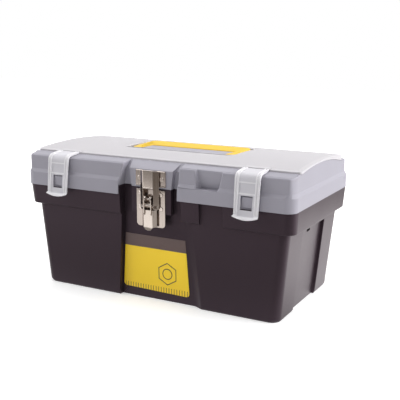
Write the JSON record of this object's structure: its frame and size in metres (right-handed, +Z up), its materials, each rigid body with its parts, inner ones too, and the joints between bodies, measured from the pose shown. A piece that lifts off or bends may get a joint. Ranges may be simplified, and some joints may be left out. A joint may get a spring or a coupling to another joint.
{
  "type": "plastic tool box",
  "caption": "Lidded plastic tool box with a lift-out tray, organiser wells under a frosted cover with snap latches, a folding handle and a metal draw latch.",
  "frame": {"origin": "middle of the tub's underside, on the surface that the box stands on", "axes": "+X along the length of the box to the right of someone who faces the latch, -Y out of the front with the latch, +Z up"},
  "size_m": [0.4, 0.2257, 0.1942],
  "materials": {
    "tub_plastic": "fine grained charcoal moulding",
    "lid_plastic": "fine grained grey moulding",
    "cover_plastic": "frosted translucent moulding",
    "handle_plastic": "satin yellow moulding",
    "tray_plastic": "fine grained charcoal moulding",
    "plated_steel": "warm nickel plate",
    "pin_steel": "bright drawn wire",
    "label_film": "printed film"
  },
  "bodies": {
    "tub": {"tub": "tub_plastic", "label": "label_film", "latch_base_plate": "plated_steel", "base_plate_rivets": "plated_steel", "base_plate_washers": "pin_steel", "lever_pin": "pin_steel", "lid_hinge_pin_left": "pin_steel", "lid_hinge_pin_right": "pin_steel"},
    "lid": {"lid": "lid_plastic", "handle_housing": "lid_plastic", "organiser_dividers": "lid_plastic", "catch_plate": "plated_steel", "catch_plate_rivets": "plated_steel", "catch_plate_washers": "pin_steel", "cover_hinge_pin_left": "pin_steel", "cover_hinge_pin_right": "pin_steel", "handle_pin_left": "pin_steel", "handle_pin_right": "pin_steel"},
    "cover": {"organiser_cover": "cover_plastic"},
    "snap_latch_left": {"snap_latch_left": "cover_plastic"},
    "snap_latch_right": {"snap_latch_right": "cover_plastic"},
    "handle": {"handle": "handle_plastic"},
    "lever": {"latch_lever": "plated_steel", "hook_pin": "pin_steel"},
    "hook": {"draw_hook": "plated_steel"},
    "tray": {"tray": "tray_plastic", "tray_partition": "tray_plastic"}
  },
  "joints": [
    {"name": "lid_hinge", "type": "hinge", "parent": "tub", "child": "lid", "pos_m": [0, 0.111, 0.141], "axis": [-1, 0, 0], "range_deg": [0, 105]},
    {"name": "cover_hinge", "type": "hinge", "parent": "lid", "child": "cover", "pos_m": [0, 0.092, 0.1848], "axis": [-1, 0, 0], "range_deg": [0, 110]},
    {"name": "snap_flex_left", "type": "hinge", "parent": "cover", "child": "snap_latch_left", "pos_m": [-0.141, -0.081, 0.1896], "axis": [-1, 0, 0], "range_deg": [0, 25]},
    {"name": "snap_flex_right", "type": "hinge", "parent": "cover", "child": "snap_latch_right", "pos_m": [0.141, -0.081, 0.1896], "axis": [-1, 0, 0], "range_deg": [0, 25]},
    {"name": "handle_fold", "type": "hinge", "parent": "lid", "child": "handle", "pos_m": [0, -0.012, 0.1872], "axis": [1, 0, 0], "range_deg": [0, 90]},
    {"name": "lever_swing", "type": "hinge", "parent": "tub", "child": "lever", "pos_m": [0, -0.101, 0.141], "axis": [-1, 0, 0], "range_deg": [0, 90]},
    {"name": "hook_swing", "type": "hinge", "parent": "lever", "child": "hook", "pos_m": [0, -0.101, 0.131], "axis": [-1, 0, 0], "range_deg": [-112.5, 0]},
    {"name": "tray_lift", "type": "slide", "parent": "tub", "child": "tray", "axis": [0, 0, 1], "range_m": [0, 0.005]}
  ],
  "couplings": [
    {"joint": "hook_swing", "follows": "lever_swing", "ratio": -1.25}
  ]
}
